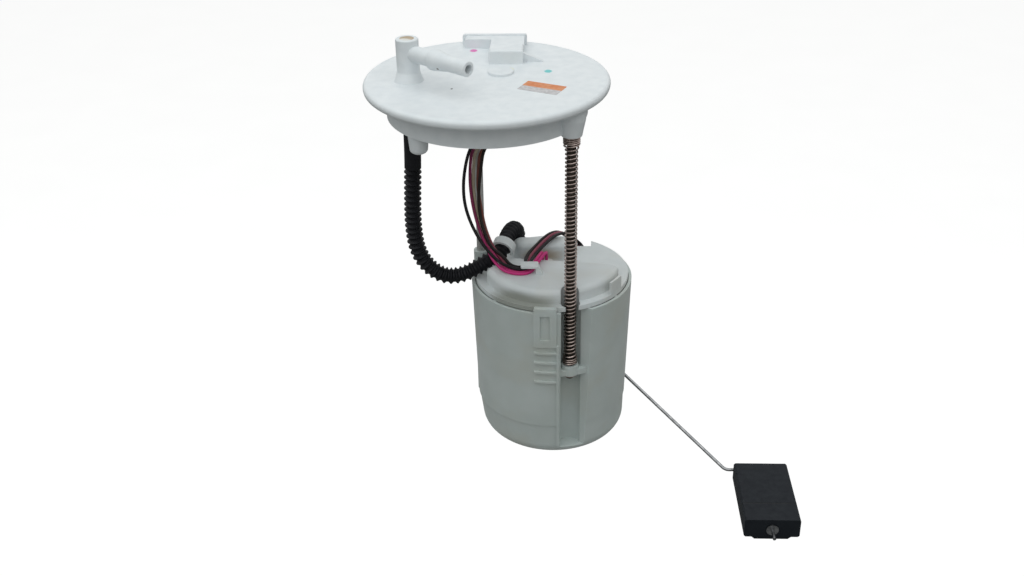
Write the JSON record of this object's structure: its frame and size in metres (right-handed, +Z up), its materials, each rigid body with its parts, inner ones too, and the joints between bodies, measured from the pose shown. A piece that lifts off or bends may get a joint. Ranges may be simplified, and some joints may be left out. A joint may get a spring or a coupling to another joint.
{
  "type": "fuel pump module",
  "caption": "In-tank fuel pump module: round flange with outlet spigot, spring-loaded guide rods, reservoir cup with filter lid, corrugated hose and a float arm level sender.",
  "frame": {"origin": "centre of the flange's flat underside, the face that seats on the tank", "axes": "+Z up out of the tank along the flange's axis, +Y the way the electrical socket faces, +X towards the float"},
  "size_m": [0.2446, 0.1311, 0.2877],
  "materials": {
    "white_moulding": "moulded acetal, satin",
    "translucent_moulding": "moulded acetal, milky and slightly translucent",
    "natural_plug": "moulded, natural",
    "amber_plug": "moulded, amber",
    "black_moulding": "moulded, black",
    "black_hose": "corrugated nylon, satin black",
    "black_rubber": "moulded rubber",
    "float_black": "closed-cell nitrile float, dull black",
    "rod_steel": "ground steel rod",
    "arm_steel": "drawn steel wire",
    "spring_steel": "spring steel with a bronze tint",
    "brass_terminals": "bright brass",
    "filter_paper": "pleated resin paper",
    "strainer_mesh": "woven nylon mesh",
    "pump_casting": "die cast",
    "magnet": "sintered ferrite",
    "armature": "laminated core with windings",
    "ceramic_card": "ceramic card with printed track",
    "wire_black": "insulated wire, black",
    "wire_maroon": "insulated wire, maroon",
    "wire_pink": "insulated wire, pink",
    "wire_brown": "insulated wire, brown"
  },
  "bodies": {
    "flange_assembly": {"flange": "white_moulding", "post_plug": "amber_plug", "terminal_blades": "brass_terminals", "flange_wire_plug": "natural_plug", "guide_rod_sprung": "rod_steel", "guide_rod_plain": "rod_steel", "rod_clip": "spring_steel", "guide_spring": "spring_steel", "fuel_hose": "black_hose", "wire_black_left": "wire_black", "wire_maroon": "wire_maroon", "wire_pink": "wire_pink", "wire_brown": "wire_brown", "wire_black_right": "wire_black"},
    "reservoir": {"reservoir_cup": "translucent_moulding", "reservoir_lid": "translucent_moulding", "pump_wire_plug": "natural_plug", "filter_case": "translucent_moulding", "filter_element": "filter_paper", "pump_can": "rod_steel", "pump_outlet_cap": "black_moulding", "pump_inlet_cover": "pump_casting", "pump_bushes": "brass_terminals", "pump_magnets": "magnet", "pump_isolator": "black_rubber", "inlet_strainer": "strainer_mesh", "pressure_regulator": "rod_steel", "foot_valve": "black_rubber", "sender_body": "natural_plug", "resistor_card": "ceramic_card"},
    "pump_rotor": {"pump_armature": "armature", "pump_impeller": "black_moulding"},
    "float_arm": {"float_arm": "arm_steel", "arm_hub": "black_moulding", "wiper_contact": "brass_terminals", "float_nut": "spring_steel"},
    "float": {"float_block": "float_black"}
  },
  "joints": [
    {"name": "reservoir_slide", "type": "slide", "parent": "flange_assembly", "child": "reservoir", "axis": [0, 0, 1], "range_m": [0, 0.045], "deforming": ["guide_spring", "fuel_hose", "wire_black_left", "wire_maroon", "wire_pink", "wire_brown", "wire_black_right"]},
    {"name": "float_arm_hinge", "type": "hinge", "parent": "reservoir", "child": "float_arm", "pos_m": [0.05, 0.06, -0.1936], "axis": [0, -1, 0], "range_deg": [0, 72]},
    {"name": "float_pivot", "type": "hinge", "parent": "float_arm", "child": "float", "pos_m": [0.1633, -0.027, -0.2522], "axis": [0, 1, 0], "continuous": true},
    {"name": "pump_rotor_spin", "type": "hinge", "parent": "reservoir", "child": "pump_rotor", "pos_m": [0.034, 0.0067, -0.155], "axis": [0, 0, 1], "continuous": true}
  ]
}
